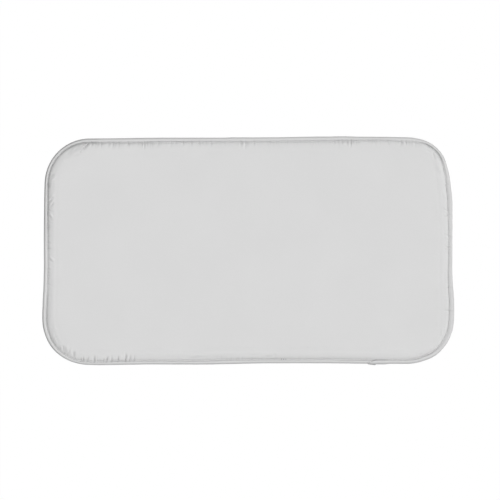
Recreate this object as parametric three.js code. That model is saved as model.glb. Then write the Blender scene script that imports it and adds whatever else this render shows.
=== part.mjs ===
// Ironing pad: a thin mat with round corners that is laid on a table or a machine top.
// Two felts and a heat barrier lie between a metallised face cloth and a plain back cloth.
// A folded tape binds the cut edges of the five layers, and one line of lockstitch holds it.
// Millimetres, +Z up. The pad lies on z = 0, centred on the origin, its long side along X.
import * as THREE from "three";

// Outline, measured at the outer fold of the binding
const padLength = 822;
const padWidth = 456;
const cornerRadius = 92;

// The sewn tape draws each corner a little out of the plain outline, along x and y, and one
// of them in where its turn begins. Each takes its own share.
const cornerPull = 3.8;
const cornerTuck = 5;
const widthRampShares = [0.15, 0.48];
const tuckRunShares = [-0.3, 0.52];
const frontRight = {
  x: 1, y: -1, startTurnShare: -0.25,
  pullShares: [1.1, 0.3], lengthRampShares: [0.4, 0.55], tuckShare: 0,
};
const backRight = {
  x: 1, y: 1, startTurnShare: 0,
  pullShares: [0, 0.5], lengthRampShares: [0.05, 0.4], tuckShare: 1,
};
const backLeft = {
  x: -1, y: 1, startTurnShare: 0.25,
  pullShares: [0, -0.3], lengthRampShares: [0.4, 0.7], tuckShare: 0,
};
const frontLeft = {
  x: -1, y: -1, startTurnShare: 0.5,
  pullShares: [1.1, 0.7], lengthRampShares: [-0.1, 0.25], tuckShare: 0,
};
const corners = [frontRight, backRight, backLeft, frontLeft];

// Layers, from the top down, at their free thickness
const faceThickness = 0.5;
const upperFeltThickness = 3;
const barrierThickness = 0.3;
const lowerFeltThickness = 2.5;
const backThickness = 0.5;
const layerGap = 0.3;

// Binding: the tape's two sides lie doubled over the edge of the pad
const bindingWidth = 8.6;
const tapeThickness = 0.9;
const stitchMargin = 1.6; // from the line of stitches to the tape's inner edge
const beadInset = 3.6; // where the bound edge is thickest
const rawEdgeInset = 2.1; // where the cut edges of the layers end inside the fold

// How much of their free thickness the felts keep where the binding presses them
const rawEdgeFeltShare = 0.09;
const beadFeltShare = 0.345;
const stitchFeltShare = 0.075;
const lipFeltShare = 0.2;
const stitchRise = 0.2; // how far the stitches pull the layers up off the table
const lipRise = 0.1;

// Crown: the rise from the binding to the flat of the pad
const crownRun = 12;
const crownPower = 2.2;
const crownShares = [0.12, 0.35, 0.65, 1];
const undersideRunShare = 0.4;

// The end of the tape laps over its beginning on the front side, cut on a slant
const lapPlaceShare = 0.88; // of the straight front side, from its left end
const lapSlant = 26;
const lapLength = 36;
const lapStep = 1;
const lapFade = 10;

// Thread of the lockstitch
const threadDiameter = 0.4;
const threadSides = 6;

// Steps of the meshes
const cornerSteps = 7;
const longSideSteps = 6;
const shortSideSteps = 4;
const foldSteps = 8;

const { clamp, euclideanModulo, smoothstep } = THREE.MathUtils;
const fullTurn = Math.PI * 2;
const quarterTurns = 4;
const upright = fullTurn / quarterTurns;
const stitchInset = bindingWidth - stitchMargin;
const threadRadius = threadDiameter / 2;
const straightLength = padLength - cornerRadius * 2;
const straightWidth = padWidth - cornerRadius * 2;

// Distances along the straight front side at which the lap changes
const lapStart = straightLength * lapPlaceShare;
const lapPlaces = [
  0, lapStep,
  lapSlant / 2, lapSlant / 2 + lapStep,
  lapSlant, lapSlant + lapStep,
  lapLength, lapLength + lapFade,
].map((place) => lapStart + place);

function centreOf(corner) {
  return new THREE.Vector2(corner.x * straightLength, corner.y * straightWidth).divideScalar(2);
}

function arcOf(corner) {
  const { x, y } = centreOf(corner);
  const start = corner.startTurnShare * fullTurn;
  return new THREE.EllipseCurve(x, y, cornerRadius, cornerRadius, start, start + upright);
}

// Even distances between the ends of a straight side
function evenPlaces(length, steps) {
  const places = [];
  for (let step = 1; step < steps; step += 1) places.push((length * step) / steps);
  return places;
}

// The side that follows each corner, running anticlockwise seen from above
function sidePlaces(corner) {
  if (corner === frontLeft) return [...evenPlaces(lapStart, longSideSteps), ...lapPlaces];
  if (corner === backRight) return evenPlaces(straightLength, longSideSteps);
  return evenPlaces(straightWidth, shortSideSteps);
}

// Points of a plain rectangle with round corners. Those of the front side know how far past
// the tip of the lap they lie.
function plainOutline() {
  const points = [];
  corners.forEach((corner, index) => {
    const arc = arcOf(corner);
    const next = arcOf(corners[(index + 1) % corners.length]);
    arc.getPoints(cornerSteps).forEach((point) => points.push({ point, pastLap: -1 }));
    const side = new THREE.LineCurve(arc.getPoint(1), next.getPoint(0));
    const length = side.getLength();
    sidePlaces(corner).forEach((place) => {
      const pastLap = corner === frontLeft ? place - lapStart : -1;
      points.push({ point: side.getPoint(place / length), pastLap });
    });
  });
  return points;
}

// How far a point is drawn in towards the centre of its corner
function tuckAt(corner, fromCentre) {
  const turn = fromCentre.angle() / fullTurn - corner.startTurnShare;
  const turnShare = euclideanModulo(turn + 1 / 2, 1) - 1 / 2;
  const [first, last] = tuckRunShares;
  const place = clamp((turnShare * quarterTurns - first) / (last - first), 0, 1);
  return cornerTuck * corner.tuckShare * Math.sin(place * Math.PI) ** 2;
}

// Moves a point with the corners that the tape has drawn out
function pulled(point) {
  const moved = point.clone();
  corners.forEach((corner) => {
    const lengthShare = (corner.x * point.x * 2) / padLength;
    const widthShare = (corner.y * point.y * 2) / padWidth;
    const nearness = smoothstep(lengthShare, ...corner.lengthRampShares);
    const pull = cornerPull * nearness * smoothstep(widthShare, ...widthRampShares);
    moved.x += corner.x * corner.pullShares[0] * pull;
    moved.y += corner.y * corner.pullShares[1] * pull;
    const fromCentre = point.clone().sub(centreOf(corner));
    moved.addScaledVector(fromCentre.clone().normalize(), -tuckAt(corner, fromCentre));
  });
  return moved;
}

// The stations of the outline: a point, the way in from it, and its place on the lap.
// The way in is longer than 1 where the outline turns, so that insets stay parallel.
function makeStations() {
  const plain = plainOutline();
  const points = plain.map(({ point }) => pulled(point));
  const box = new THREE.Box2().setFromPoints(points);
  const middle = box.getCenter(new THREE.Vector2());
  points.forEach((point) => point.sub(middle));
  return points.map((point, index) => {
    const before = points.at(index - 1);
    const after = points[(index + 1) % points.length];
    const arriving = point.clone().sub(before).normalize();
    const leaving = after.clone().sub(point).normalize();
    const along = arriving.clone().add(leaving).normalize();
    const inward = new THREE.Vector2(-along.y, along.x).divideScalar(along.dot(arriving));
    return { point, inward, pastLap: plain[index].pastLap };
  });
}

const stations = makeStations();

// The extra tape at a station and an inset: its edge slants back from the outer fold
function lapAt(station, inset) {
  const edge = lapSlant * (inset / bindingWidth);
  const rise = clamp((station.pastLap - edge) / lapStep, 0, 1);
  const fall = clamp((station.pastLap - lapLength) / lapFade, 0, 1);
  return tapeThickness * (rise - fall);
}

// One closed line of points round the pad. The lap moves it up and out by its two shares.
function ring(inset, height, lapUpShare = 0, lapOutShare = 0) {
  return stations.map((station) => {
    const lap = lapAt(station, inset);
    const reach = inset - lap * lapOutShare;
    const place = station.inward.clone().multiplyScalar(reach).add(station.point);
    return new THREE.Vector3(place.x, place.y, height + lap * lapUpShare);
  });
}

// Joins rings into one closed surface. Its rings run outwards below and inwards above. A sheet
// is closed by a flat cap on its first and last ring, and a loop by joining these two.
function skin(rings, isLoop) {
  const count = stations.length;
  const positions = rings.flat().flatMap((point) => point.toArray());
  const faces = [];
  const bands = isLoop ? rings.length : rings.length - 1;
  for (let band = 0; band < bands; band += 1) {
    const low = band * count;
    const high = ((band + 1) % rings.length) * count;
    for (let index = 0; index < count; index += 1) {
      const next = (index + 1) % count;
      faces.push(low + index, low + next, high + index);
      faces.push(low + next, high + next, high + index);
    }
  }
  if (!isLoop) {
    const last = (rings.length - 1) * count;
    const flat = rings[0].map((point) => new THREE.Vector2(point.x, point.y));
    THREE.ShapeUtils.triangulateShape(flat, []).forEach(([a, b, c]) => faces.push(a, c, b));
    const top = rings.at(-1).map((point) => new THREE.Vector2(point.x, point.y));
    THREE.ShapeUtils.triangulateShape(top, []).forEach(([a, b, c]) => {
      faces.push(last + a, last + b, last + c);
    });
  }
  const geometry = new THREE.BufferGeometry();
  geometry.setAttribute("position", new THREE.Float32BufferAttribute(positions, 3));
  geometry.setIndex(faces);
  geometry.computeVertexNormals();
  return geometry;
}

// Heights of the ten faces of the five layers, from the underside up
function levels(bottom, feltShare) {
  const thicknesses = [
    backThickness, layerGap,
    lowerFeltThickness * feltShare, layerGap,
    barrierThickness, layerGap,
    upperFeltThickness * feltShare, layerGap,
    faceThickness,
  ];
  const heights = [bottom];
  thicknesses.forEach((thickness) => heights.push(heights.at(-1) + thickness));
  return heights;
}

function stackThickness(feltShare) {
  const heights = levels(0, feltShare);
  return heights.at(-1);
}

// The bound edge rests on the table, and the layers lie at its mid-height
const tapeReach = tapeThickness + layerGap;
const beadHalfHeight = stackThickness(beadFeltShare) / 2 + tapeReach;

function boundRow(inset, feltShare, rise) {
  const bottom = beadHalfHeight + rise - stackThickness(feltShare) / 2;
  return { inset, heights: levels(bottom, feltShare) };
}

const rawEdgeRow = boundRow(rawEdgeInset, rawEdgeFeltShare, 0);
const beadRow = boundRow(beadInset, beadFeltShare, 0);
const stitchRow = boundRow(stitchInset, stitchFeltShare, stitchRise);
const lipRow = boundRow(bindingWidth, lipFeltShare, lipRise);

function crownRow(share) {
  const full = 1 - (1 - share) ** crownPower;
  const bottom = lipRow.heights[0] * (1 - smoothstep(share, 0, undersideRunShare));
  const feltShare = lipFeltShare + (1 - lipFeltShare) * full;
  return { inset: bindingWidth + crownRun * share, heights: levels(bottom, feltShare) };
}

const rowsInward = [rawEdgeRow, beadRow, stitchRow, lipRow, ...crownShares.map(crownRow)];

// A layer between two of the ten faces
function layerGeometry(lowerFace, upperFace) {
  const below = [...rowsInward].reverse().map((row) => ring(row.inset, row.heights[lowerFace]));
  const above = rowsInward.map((row) => ring(row.inset, row.heights[upperFace]));
  return skin([...below, ...above], false);
}

const underside = (row) => row.heights[0];
const topSide = (row) => row.heights.at(-1);

// The fold of the tape round the edge, half an ellipse from the underside up
function foldPoints(widthRadius, heightRadius) {
  const points = [];
  for (let step = 0; step <= foldSteps; step += 1) {
    const angle = Math.PI * (step / foldSteps) - upright;
    const up = Math.sin(angle);
    const out = Math.cos(angle);
    points.push({
      inset: beadInset - widthRadius * out,
      height: beadHalfHeight + heightRadius * up,
      lapUpShare: Math.max(0, up),
      lapOutShare: out * clamp(1 + up, 0, 1),
    });
  }
  return points;
}

// Section of the tape: outwards below, round the fold and inwards above, then back inside
function bindingGeometry() {
  const outside = [
    { inset: bindingWidth, height: underside(lipRow) - tapeReach },
    { inset: stitchInset, height: underside(stitchRow) - tapeReach },
    ...foldPoints(beadInset, beadHalfHeight),
    { inset: stitchInset, height: topSide(stitchRow) + tapeReach, lapUpShare: 1 },
    { inset: bindingWidth, height: topSide(lipRow) + tapeReach, lapUpShare: 1 },
  ];
  const innerFold = foldPoints(beadInset - tapeThickness, beadHalfHeight - tapeThickness);
  const inside = [
    { inset: bindingWidth, height: topSide(lipRow) + layerGap },
    { inset: stitchInset, height: topSide(stitchRow) + layerGap },
    ...innerFold.reverse().map(({ inset, height }) => ({ inset, height })),
    { inset: stitchInset, height: underside(stitchRow) - layerGap },
    { inset: bindingWidth, height: underside(lipRow) - layerGap },
  ];
  const rings = [...outside, ...inside].map((point) => {
    return ring(point.inset, point.height, point.lapUpShare, point.lapOutShare);
  });
  return skin(rings, true);
}

// A thread laid along the line of stitches at a height
function threadGeometry(height, lapUpShare) {
  const rings = [];
  for (let side = 0; side < threadSides; side += 1) {
    const angle = (fullTurn * side) / threadSides;
    const across = stitchInset - threadRadius * Math.cos(angle);
    const up = height + threadRadius * Math.sin(angle);
    rings.push(ring(across, up, lapUpShare));
  }
  return skin(rings, true);
}

const threadReach = tapeReach + layerGap + threadRadius;
const needleHeight = topSide(stitchRow) + threadReach;
const bobbinHeight = underside(stitchRow) - threadReach;

function cloth(color, roughness, metalness) {
  return new THREE.MeshStandardMaterial({ color, roughness, metalness });
}

const metallisedCotton = cloth(0xd9d9d9, 0.5, 0.3);
const metallisedTape = cloth(0xd4d4d4, 0.5, 0.3);
const plainCotton = cloth(0xcfcfcc, 0.9, 0);
const whiteFelt = cloth(0xe9e7e1, 1, 0);
const greyFelt = cloth(0xc4c2bd, 1, 0);
const foil = cloth(0xe0e0e2, 0.3, 0.9);
const polyesterThread = cloth(0xc8c8c8, 0.6, 0);

const pad = new THREE.Group();
pad.name = "ironing_pad";

function addPiece(name, geometry, material) {
  const piece = new THREE.Mesh(geometry, material);
  piece.name = name;
  pad.add(piece);
}

addPiece("back_cloth", layerGeometry(0, 1), plainCotton);
addPiece("lower_felt", layerGeometry(2, 3), greyFelt);
addPiece("heat_barrier", layerGeometry(4, 5), foil);
addPiece("upper_felt", layerGeometry(6, 7), whiteFelt);
addPiece("face_cloth", layerGeometry(8, 9), metallisedCotton);
addPiece("edge_binding", bindingGeometry(), metallisedTape);
addPiece("needle_thread", threadGeometry(needleHeight, 1), polyesterThread);
addPiece("bobbin_thread", threadGeometry(bobbinHeight, 0), polyesterThread);

export default pad;
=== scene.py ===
import math

import bmesh
import bpy
import numpy as np
from mathutils import Matrix, Vector


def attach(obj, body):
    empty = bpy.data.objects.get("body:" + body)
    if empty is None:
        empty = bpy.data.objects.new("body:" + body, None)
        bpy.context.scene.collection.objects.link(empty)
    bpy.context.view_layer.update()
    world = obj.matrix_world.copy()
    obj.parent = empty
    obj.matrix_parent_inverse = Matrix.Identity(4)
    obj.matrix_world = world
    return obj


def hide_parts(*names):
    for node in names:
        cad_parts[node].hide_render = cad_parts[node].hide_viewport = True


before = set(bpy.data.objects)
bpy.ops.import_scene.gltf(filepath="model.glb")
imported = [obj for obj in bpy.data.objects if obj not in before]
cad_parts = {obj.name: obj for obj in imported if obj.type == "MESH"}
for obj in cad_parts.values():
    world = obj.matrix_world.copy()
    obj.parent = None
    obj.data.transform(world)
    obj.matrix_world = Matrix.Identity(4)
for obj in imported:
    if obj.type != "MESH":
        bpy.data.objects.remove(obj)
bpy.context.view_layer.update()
print("frame loaded:", sorted(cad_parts))

mm = 0.001
quarter = math.pi / 2
randomiser = np.random.default_rng(20)

# The outline at the outer fold of the tape, as the solids have it
padOutline = {
    "length": 822 * mm, "width": 456 * mm, "cornerRadius": 92 * mm, "cornerPull": 3.8 * mm,
    "cornerTuck": 5 * mm, "widthRamp": (0.15, 0.48), "tuckRun": (-0.3, 0.52),
    "finePoints": 500,  # on each corner and each side
    # x and y signs, pull along x and y, ramp along the length, share of the tuck
    "corners": [
        (1, -1, 1.1, 0.3, (0.4, 0.55), 0),
        (1, 1, 0, 0.5, (0.05, 0.4), 1),
        (-1, 1, 0, -0.3, (0.4, 0.7), 0),
        (-1, -1, 1.1, 0.7, (-0.1, 0.25), 0),
    ],
}


def ease(value, start, end):
    share = np.clip((value - start) / (end - start), 0, 1)
    return share * share * (3 - 2 * share)


def plainOutline():
    radius = padOutline["cornerRadius"]
    middle = np.array([padOutline["length"], padOutline["width"]]) / 2 - radius
    steps = np.arange(padOutline["finePoints"]) / padOutline["finePoints"]
    rows = []
    for index, corner in enumerate(padOutline["corners"]):
        turn = (index - 1 + steps) * quarter
        centre = middle * corner[:2]
        arc = centre + radius * np.stack([np.cos(turn), np.sin(turn)], axis=1)
        away = np.array([math.cos(index * quarter), math.sin(index * quarter)])
        sideStart = centre + radius * away
        nextCentre = middle * padOutline["corners"][(index + 1) % 4][:2]
        sideEnd = nextCentre + radius * away
        rows += [arc, sideStart + steps[:, None] * (sideEnd - sideStart)]
    return np.concatenate(rows), middle


# The same corners that the seam has drawn out or tucked in as on the solids
def sewnOutline():
    points, middle = plainOutline()
    moved = points.copy()
    for index, (signX, signY, pullX, pullY, ramp, tuck) in enumerate(padOutline["corners"]):
        nearness = ease(signX * points[:, 0] * 2 / padOutline["length"], *ramp)
        nearness = nearness * ease(signY * points[:, 1] * 2 / padOutline["width"], *padOutline["widthRamp"])
        moved[:, 0] += signX * pullX * padOutline["cornerPull"] * nearness
        moved[:, 1] += signY * pullY * padOutline["cornerPull"] * nearness
        fromCentre = points - middle * (signX, signY)
        turn = np.arctan2(fromCentre[:, 1], fromCentre[:, 0]) / quarter - (index - 1)
        turn = (turn + 2) % 4 - 2
        first, last = padOutline["tuckRun"]
        place = np.clip((turn - first) / (last - first), 0, 1)
        depth = padOutline["cornerTuck"] * tuck * np.sin(place * math.pi) ** 2
        moved -= fromCentre / np.linalg.norm(fromCentre, axis=1)[:, None] * depth[:, None]
    return moved - (moved.min(axis=0) + moved.max(axis=0)) / 2


fineOutline = sewnOutline()
fineSteps = np.linalg.norm(np.roll(fineOutline, -1, axis=0) - fineOutline, axis=1)
finePlaces = np.concatenate([[0], np.cumsum(fineSteps)])
perimeter = float(finePlaces[-1])
fineAlong = np.roll(fineOutline, -1, axis=0) - np.roll(fineOutline, 1, axis=0)
fineAlong = fineAlong / np.linalg.norm(fineAlong, axis=1)[:, None]
fineInward = np.stack([-fineAlong[:, 1], fineAlong[:, 0]], axis=1)
print("outline of", round(perimeter, 3), "m")


# Points and ways in at places along the outline, which are distances in metres
def outlineAt(places):
    wrapped = np.mod(places, perimeter)
    found = []
    for table in (fineOutline, fineInward):
        closed = np.concatenate([table, table[:1]])
        found.append(np.stack([np.interp(wrapped, finePlaces, closed[:, k]) for k in (0, 1)], axis=-1))
    inward = found[1] / np.linalg.norm(found[1], axis=-1)[..., None]
    return found[0] + inward * around(edgeShifts, wrapped)[..., None] * mm, inward


def spotsAt(places, inset):
    edge, inward = outlineAt(places)
    return edge + inward * inset[:, None]


# The outline starts at the right end of the front side and runs anticlockwise. Tables give values
# at places on it in millimetres, and between these they follow a straight line.
def around(table, places):
    return np.interp(places, [place * mm for place in table], list(table.values()), period=perimeter)


# Smooth wandering along the outline between -1 and 1, with a knot every step
def wander(places, step):
    count = max(4, round(perimeter / step))
    knots = randomiser.uniform(-1, 1, count)
    position = np.mod(places, perimeter) / perimeter * count
    low = np.floor(position).astype(int) % count
    share = position - np.floor(position)
    share = share * share * (3 - 2 * share)
    return knots[low] * (1 - share) + knots[(low + 1) % count] * share


# How far the sewn edge lies inside the outline, in millimetres
edgeShifts = {
    0: 1, 15: 1.5, 30: 1.5, 60: -0.3, 135: 0.5, 165: -0.1, 210: 0.3, 240: -0.2, 345: -0.7, 435: -0.5,
    450: 0.2, 510: -0.1, 525: 0.5, 540: 1.6, 555: 1.9, 570: 1.9, 600: 1.1, 660: 0.7, 690: -0.1, 720: 0.4,
    915: 0.2, 930: 0.8, 1110: 0.7, 1275: 1.8, 1335: 1.6, 1365: 0.7, 1455: -0.3, 1530: 0, 1560: 1.5,
    1590: 1.5, 1605: 0.9, 1650: 1.1, 1680: 0.3, 1740: 1.1, 1785: -0.2, 1890: 1.3, 2070: 0.7, 2190: 1.1,
    2265: 0.9, 2310: 1.4, 2340: 1,
}
# Inset of the top of the bead
beadInsets = {
    0: 5.4, 40: 6.6, 60: 6.2, 80: 4.1, 100: 2.6, 120: 2.4, 420: 2.4, 440: 3.9, 460: 4.1, 520: 3.6, 560: 5,
    640: 5, 700: 5.7, 740: 5.2, 880: 5.8, 940: 5, 1000: 5.8, 1140: 6, 1200: 5.4, 1240: 4.3, 1380: 4.2,
    1400: 4.2, 1440: 5.2, 1600: 4.6, 1660: 5, 1740: 4.2, 1800: 4.5, 1840: 5.6, 1920: 4.4, 2080: 5.3,
    2140: 4.1, 2200: 3.7, 2280: 4.3, 2340: 5.4,
}
# Inset of the crease beside the tape
creaseInsets = {
    0: 7, 40: 9.1, 60: 9.2, 140: 9.3, 180: 9, 260: 6.6, 300: 6.2, 320: 6.5, 340: 7.8, 380: 8.7, 420: 8.2,
    440: 7.8, 460: 7.2, 480: 6.9, 500: 6.7, 520: 6.8, 540: 8.2, 560: 8.9, 620: 7.1, 680: 8.9, 720: 9.3,
    760: 9.4, 820: 8.5, 920: 9, 1020: 8.3, 1100: 9.8, 1140: 8.9, 1180: 8.8, 1260: 7, 1320: 6.7, 1560: 7.6,
    1640: 8.4, 1740: 6.3, 1800: 7.5, 1960: 6.9, 2040: 8.6, 2120: 7.7, 2200: 7.4, 2240: 8.1, 2300: 7.1,
    2340: 7.5,
}
# Depth to which the seam draws the tape down
seamDepths = {
    0: 2.8, 45: 2.6, 75: 1.6, 105: 1.3, 150: 0.6, 240: 0.5, 405: 0.7, 450: 1.5, 470: 3.4, 510: 4, 525: 3,
    540: 1.4, 585: 1.9, 630: 3, 675: 3.2, 825: 3.1, 855: 2.9, 885: 3.2, 1140: 3.4, 1190: 3.6, 1230: 4,
    1400: 4, 1440: 3.4, 1470: 2.4, 1485: 1.6, 1515: 1.1, 1545: 1.3, 1575: 2.4, 1590: 3, 1620: 4, 1680: 4,
    1695: 3.8, 1725: 3, 1755: 3.5, 1815: 3.5, 1830: 3.4, 1860: 2.6, 1935: 2.6, 1965: 3.1, 2310: 3,
    2355: 2.6,
}
# Height of the bead, which swells where the seam is drawn tight
beadHeights = {
    0: 7, 60: 7, 150: 8.1, 400: 8.1, 440: 7.3, 470: 7.8, 510: 7.8, 540: 7.1, 1150: 7.2, 1200: 7.8,
    1400: 7.8, 1430: 7.6, 1470: 6.8, 1590: 6.8, 1620: 7.8, 1690: 7.8, 1720: 7, 1760: 7.4, 1820: 7.4,
    1850: 7,
}
# Width of the crown inside the crease
crownRuns = {
    0: 14, 30: 14, 90: 8, 420: 8, 465: 12, 500: 15, 525: 15, 570: 14, 1170: 15, 1200: 21, 1260: 25,
    1320: 22, 1380: 18, 1440: 15, 1500: 13, 1600: 18, 1650: 22, 1700: 20, 1750: 15, 1980: 15, 2160: 12,
}
# Painted shade: how much the colour is darkened along the fold and in the crease, standing in for the shade
# that falls there
seamPaintedShade = {
    0: 0.1, 40: 0.12, 80: 0.05, 420: 0.03, 450: 0.04, 480: 0.1, 500: 0.08, 600: 0.07, 1050: 0.12,
    1170: 0.16, 1190: 0.3, 1240: 0.43, 1280: 0.36, 1330: 0.4, 1410: 0.32, 1440: 0.24, 1470: 0.15,
    1560: 0.14, 1610: 0.26, 1680: 0.24, 1720: 0.08, 2350: 0.1,
}
# How much the seam has gathered the cloth
seamSlack = {
    0: 0.2, 100: 0.2, 160: 0.3, 420: 0.3, 440: 0.2, 520: 0.5, 560: 0.8, 580: 0.4, 650: 0.8, 700: 0.8,
    730: 0.3, 860: 0.4, 890: 0.9, 910: 0.5, 950: 0.7, 1060: 0.7, 1090: 1, 1200: 1, 1220: 0.3, 1320: 0.4,
    1400: 0.8, 1480: 0.5, 1560: 0.3, 1640: 0.2, 1730: 0.8, 1860: 1, 1880: 0.2, 2050: 0.4, 2080: 0.2,
}
padSection = {
    "tapeThickness": 0.9 * mm, "lipWidth": 1.3 * mm,
    "lipShare": 0.35,  # how much of the depth the tape's edge rises again past the stitches
    "dipPower": 1.4, "undersideDepth": 0.4 * mm, "rawEdgeDrop": 1.1 * mm, "rawEdgeRun": 1.5 * mm,
    "tapeGap": 0.08 * mm, "layerGap": 0.05 * mm, "clothThickness": 0.4 * mm,
    "barrierThickness": 0.1 * mm, "upperFeltShare": 0.55, "padThickness": 8 * mm,
    "creaseRun": 1.25 * mm, "crownRise": 2.3 * mm,
    "crownWidth": 14 * mm,  # at which it rises by that much
    "crownGrowth": 0.6, "crownPower": 2.4, "undersideRun": 5 * mm,
    "furrowRoom": 2.1 * mm,  # above the felt, for the deepest fold
}
tapeWall = padSection["tapeThickness"] + padSection["tapeGap"]


# Insets of the bead's top, the stitches and the tape's inner edge
def seamAt(places):
    crease = around(creaseInsets, places) * mm
    return around(beadInsets, places) * mm, crease, crease + padSection["lipWidth"]


# How deep the seam presses the tape in at an inset
def seamDip(places, inset, depth):
    bead, stitch, edge = seamAt(places)
    share = np.clip((inset - bead) / (stitch - bead), 0, 1)
    rise = padSection["lipShare"] * np.clip((inset - stitch) / (edge - stitch), 0, 1)
    return depth * (1 - np.cos(quarter * share ** padSection["dipPower"]) - rise)


def tapeTop(places, inset):
    return around(beadHeights, places) * mm - seamDip(places, inset, around(seamDepths, places) * mm)


def tapeBottom(places, inset):
    return seamDip(places, inset, padSection["undersideDepth"])


# Where the painted shade lies: how far it reaches past the tape's edge, and where and how wide it lies on
# the fold
paintedShadeSpread = {"footReach": 2.2 * mm, "foldInset": 1.6 * mm, "foldWidth": 1.4 * mm, "foldShare": 1.1}


# Painted shade: the colour is darkened most at the foot of the crown and on the outer half of the fold,
# where shade falls
def paintedShade(places, inset):
    bead, stitch, edge = seamAt(places)
    foot = ease(inset, (bead + stitch) / 2, stitch)
    foot = foot * np.exp(-np.maximum(inset - edge, 0) / paintedShadeSpread["footReach"])
    fold = np.exp(-(((inset - paintedShadeSpread["foldInset"]) / paintedShadeSpread["foldWidth"]) ** 2))
    return around(seamPaintedShade, places) * (foot + paintedShadeSpread["foldShare"] * fold)


# Top of the face cloth before any pucker
def faceTop(places, inset):
    part = padSection
    bead, stitch, edge = seamAt(places)
    rawDrop = part["rawEdgeDrop"] * np.clip((bead - inset) / part["rawEdgeRun"], 0, 1)
    hidden = tapeTop(places, np.minimum(inset, edge)) - tapeWall - rawDrop
    past = np.maximum(inset - edge, 0)
    run = around(crownRuns, places) * mm
    rise = part["crownRise"] * (run / part["crownWidth"]) ** part["crownGrowth"]
    steep = part["padThickness"] - (tapeTop(places, edge) - tapeWall) - rise
    crown = steep * (1 - np.exp(-past / part["creaseRun"]))
    crown = crown + rise * (1 - (1 - np.clip(past / run, 0, 1)) ** part["crownPower"])
    return hidden + np.where(past > 0, crown, 0)


# Bottom of the back cloth
def backBottom(places, inset):
    part = padSection
    bead, stitch, edge = seamAt(places)
    rawDrop = part["rawEdgeDrop"] * np.clip((bead - inset) / part["rawEdgeRun"], 0, 1)
    hidden = tapeBottom(places, np.minimum(inset, edge)) + tapeWall + rawDrop
    return hidden * (1 - ease(inset, edge, edge + part["undersideRun"]))


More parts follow.
